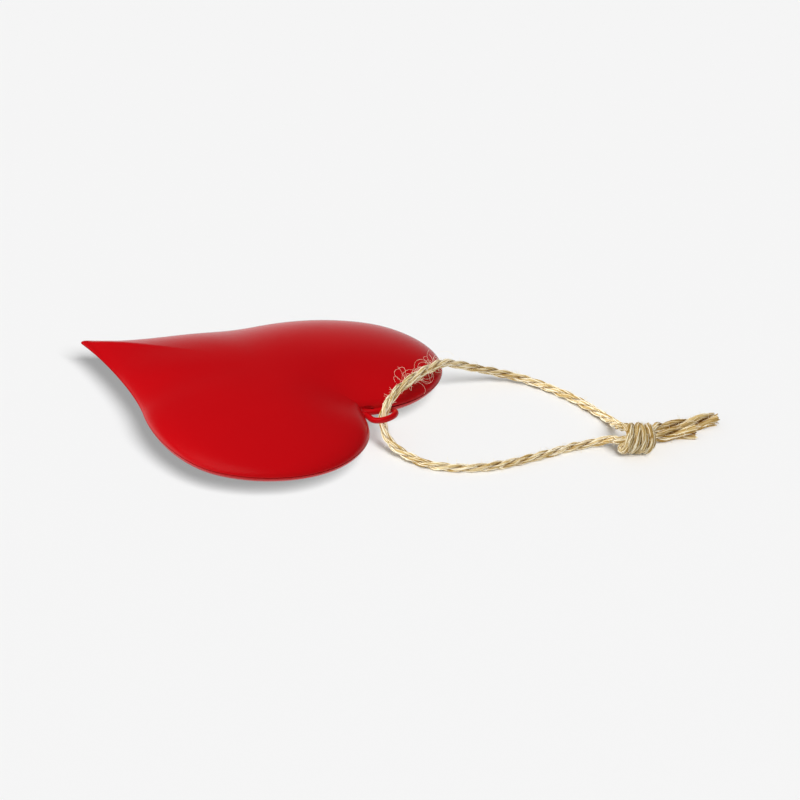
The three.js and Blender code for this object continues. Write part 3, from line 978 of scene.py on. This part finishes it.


# %% [markdown]
# The shells are pierced in the cleft for the two legs. A Boolean cuts the hole with a
# round-sided bar. The bar's faces carry the seam's painted shade, so the hole is painted dark
# inside.


# %% The hole for the wire
def slot_cutter():
    """A bar with round sides, as wide and high as the hole that the two legs run in."""
    arc = [polar(PIERCED, d) + (HOLE_HALF_WIDTH, 0) for d in range(-90, 91, HOLE_ARC_STEP)]
    arc += [polar(PIERCED, d) - (HOLE_HALF_WIDTH, 0) for d in range(90, 271, HOLE_ARC_STEP)]
    from_x, to_x = CLEFT_AT - LEG_INSIDE - HOLE_DEEPER, CLEFT_AT + RING_PAST_CLEFT
    count = len(arc)
    points = [(x, y, z) for x in (from_x, to_x) for y, z in arc]
    faces = [tuple(range(count))[::-1], tuple(range(count, 2 * count))]
    faces += [(i, (i + 1) % count, (i + 1) % count + count, i + count) for i in range(count)]
    made = mesh_object("slot", np.array(points) + (HEART_X, 0, RIM_Z), faces, red_paint)
    # Painted shade for the inside of the hole.
    mark(made, "seam", [1.0] * len(points))
    return made


cutter = slot_cutter()
pierce = heart.modifiers.new("pierce", "BOOLEAN")
pierce.operation = "DIFFERENCE"
pierce.solver = "EXACT"
pierce.object = cutter
evaluated = heart.evaluated_get(bpy.context.evaluated_depsgraph_get())
pierced = bpy.data.meshes.new_from_object(evaluated)
heart.modifiers.clear()
heart.data = pierced
heart.data.shade_smooth()
heart.data.set_sharp_from_angle(angle=math.radians(SHARP_FROM))
bpy.data.objects.remove(cutter)
print("pierced heart:", len(heart.data.polygons), "faces")

# %% [markdown]
# Where the twine rubs over the far lobe, whole fibres have come out of it and stand in
# curls on the paint. Combed hair would lie too tidily. Each curl is a walk that keeps
# turning, pushed off the heart's skin, and becomes a thin bar.


# %% Loose curls of fibre
CURLS = 30
CURL_FROM, CURL_TO = 14.0, 43.0  # back from the eye along the twine
CURL_RADIUS = 0.03
CURL_STEP = 0.35
CURL_SHORTEST, CURL_LONGEST = 5, 13
CURL_ROOT = 0.42  # from the twine's middle, as a share of its diameter
LEAST_BEND, MOST_BEND = 0.06, 0.2  # radians at each step
WAVER = 0.07  # how much the axis of the bend moves at each step
CURL_PROUD, CURL_TONE = 1.0, 0.9
CURL_SEED = 11


def any_way(rng):
    return Vector((rng.gauss(0, 1), rng.gauss(0, 1), rng.gauss(0, 1)))


def curl(rng, skin):
    """One loose fibre, as points in mm that start on the twine's surface."""
    back = rng.uniform(CURL_FROM, CURL_TO)
    number = CUTS[3] - round(back / WHOLE * (len(route) - 1))
    ahead = Vector(route[number + 1] - route[number - 1]).normalized()
    out = any_way(rng)
    out.z = abs(out.z)
    out = (out - ahead * out.dot(ahead)).normalized()
    at = Vector(route[number]) + out * TWINE * CURL_ROOT
    going = (out + ahead * rng.uniform(-1, 1)).normalized()
    axis = going.cross(any_way(rng)).normalized()
    bend = rng.uniform(LEAST_BEND, MOST_BEND)
    points = []
    for _ in range(round(rng.uniform(CURL_SHORTEST, CURL_LONGEST) / CURL_STEP)):
        points.append(at.copy())
        going = Quaternion(axis, bend) @ going
        axis = (axis + WAVER * any_way(rng)).normalized()
        at = at + going * CURL_STEP
        near, normal, _, _ = skin.find_nearest(at * MM)
        clear = (at - near / MM).dot(normal)
        if clear < 2 * CURL_RADIUS:
            at += normal * (2 * CURL_RADIUS - clear)
    return points


def curls_object(name, seed):
    rng = random.Random(seed)
    skin = BVHTree.FromObject(heart, bpy.context.evaluated_depsgraph_get())
    data = bpy.data.curves.new(name, "CURVE")
    data.dimensions = "3D"
    data.bevel_depth = CURL_RADIUS * MM
    data.bevel_resolution = 0
    for _ in range(CURLS):
        points = curl(rng, skin)
        spline = data.splines.new("POLY")
        spline.points.add(len(points) - 1)
        for point, at in zip(spline.points, points):
            point.co = (*(at * MM), 1.0)
    drawn = bpy.data.objects.new(name, data)
    made = bpy.data.objects.new(name + "_laid", bpy.data.meshes.new_from_object(drawn))
    bpy.data.objects.remove(drawn)
    bpy.context.scene.collection.objects.link(made)
    count = len(made.data.vertices)
    for label, value in (("proud", CURL_PROUD), ("tone", CURL_TONE)):
        mark(made, label, [value] * count)
    made.data.materials.append(jute)
    made.data.shade_smooth()
    return made


curls = curls_object("loose_curls", CURL_SEED)
print("curls:", len(curls.data.polygons), "faces")

# %% [markdown]
# A plain white table in a white room, matt, so that only the soft shadow shows on it. The
# photograph was retouched: no one lamp gives both its shadow and its light on the ornament.
# So light linking gives the table a lamp of its own, at the front right, whose shadow falls
# to the left and back, and the ornament is lit from the left. The lamps are polarised: the
# paint mirrors only the room, which is bright at the horizon and dark overhead. That gives
# the pale sheen on the far edge of the lobes.

# %% Floor and light
TABLE_LAMP_TRAVELS = (-0.607, 0.396, -0.689)  # the way its rays go
ORNAMENT_LAMP_TRAVELS = (0.49, 0.425, -0.76)
ROOM_LIGHT = 0.4
HORIZON_GLOSS, OVERHEAD_GLOSS, DARK_FROM = 0.9, 0.02, 0.3  # the room, as the paint sees it
TABLE_HALF = 3000
TABLE_WHITE = linear("#F2F2F2")

table_paint, tree, shader = surface_material(
    "matt white table", {"Base Color": TABLE_WHITE, "Roughness": 0.9, "Specular IOR Level": 0.1}
)
corners = [(x * TABLE_HALF, y * TABLE_HALF, 0) for x, y in ((-1, -1), (1, -1), (1, 1), (-1, 1))]
floor = mesh_object("table_top", corners, [(0, 1, 2, 3)], table_paint)

world = bpy.data.worlds.new("white room")
world.use_nodes = True
tree = world.node_tree
background = tree.nodes["Background"]
background.inputs["Color"].default_value = (1, 1, 1, 1)
upward = add_node(
    tree, "ShaderNodeSeparateXYZ", {0: add_node(tree, "ShaderNodeTexCoord").outputs["Generated"]}
).outputs["Z"]
room = add_node(
    tree,
    "ShaderNodeMapRange",
    {"Value": upward, "From Max": DARK_FROM, "To Min": HORIZON_GLOSS, "To Max": OVERHEAD_GLOSS},
).outputs["Result"]
seen_in_gloss = add_node(tree, "ShaderNodeLightPath").outputs["Is Glossy Ray"]
strength = add_node(
    tree, "ShaderNodeMix", {"Factor": seen_in_gloss, "A": ROOM_LIGHT, "B": room}, data_type="FLOAT"
)
tree.links.new(strength.outputs["Result"], background.inputs["Strength"])
bpy.context.scene.world = world
bpy.context.scene.view_settings.view_transform = "Standard"


def lit_by_it(name, pieces):
    made = bpy.data.collections.new(name)
    for piece in pieces:
        made.objects.link(piece)
    return made


def broad_light(name, travels, energy, softness, shadow, lit):
    """A polarised studio light on some of the pieces. It leaves no glare on the paint."""
    data = bpy.data.lights.new(name, "SUN")
    data.energy = energy
    data.angle = math.radians(softness)
    data.use_shadow = shadow
    made = bpy.data.objects.new(name, data)
    bpy.context.scene.collection.objects.link(made)
    made.rotation_mode = "QUATERNION"
    made.rotation_quaternion = Vector(travels).to_track_quat("-Z", "Y")
    made.visible_glossy = False
    made.light_linking.receiver_collection = lit


table = lit_by_it("table", [floor])
painted = lit_by_it("painted steel", [heart, eye])
knot = lit_by_it("knot", [twine["knot_upper"], twine["knot_lower"]])
loose_twine = lit_by_it(
    "loose twine", [curls, *(piece for name, piece in twine.items() if "knot" not in name)]
)
heart.visible_diffuse = False  # the photograph's table shows no red glow round the heart
for name, travels, energy, softness, shadow, lit in (
    ("table lamp", TABLE_LAMP_TRAVELS, 2.92, 34, True, table),
    ("heart lamp", ORNAMENT_LAMP_TRAVELS, 2.62, 60, True, painted),
    ("knot lamp", ORNAMENT_LAMP_TRAVELS, 2.4, 60, True, knot),
    ("twine lamp", ORNAMENT_LAMP_TRAVELS, 3.1, 60, False, loose_twine),
):
    broad_light(name, travels, energy, softness, shadow, lit)

# %% [markdown]
# Every piece rides on the part's one body and hides the plain solid that it stands for.
# The lengths of the loop's two sides, from the eye to the knot, are printed.

# %% Putting the pieces in the part's places
for piece, node, slot in (
    (heart, "heart_body", "red_paint"),
    (eye, "wire_eye", "red_paint"),
    (twine["loop_upper"], "twine_loop", "jute"),
    (twine["loop_lower"], "twine_loop", "jute"),
    (twine["knot_upper"], "twine_knot", "jute"),
    (twine["knot_lower"], "twine_knot", "jute"),
    (twine["tail_long"], "twine_tail_long", "jute"),
    (twine["tail_short"], "twine_tail_short", "jute"),
    (curls, "twine_loop", "jute"),
):
    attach(piece, "root")
    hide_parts(node)

for side, on_it in (
    ("upper", [twine["knot_upper"], twine["tail_long"], curls]),
    ("lower", [twine["knot_lower"], twine["tail_short"]]),
):
    number = STRETCHES.index("loop_" + side)
    start, end = CUTS[number], CUTS[number + 1]
    print(side, "cord:", round(along(end) - along(start), 1), "mm")
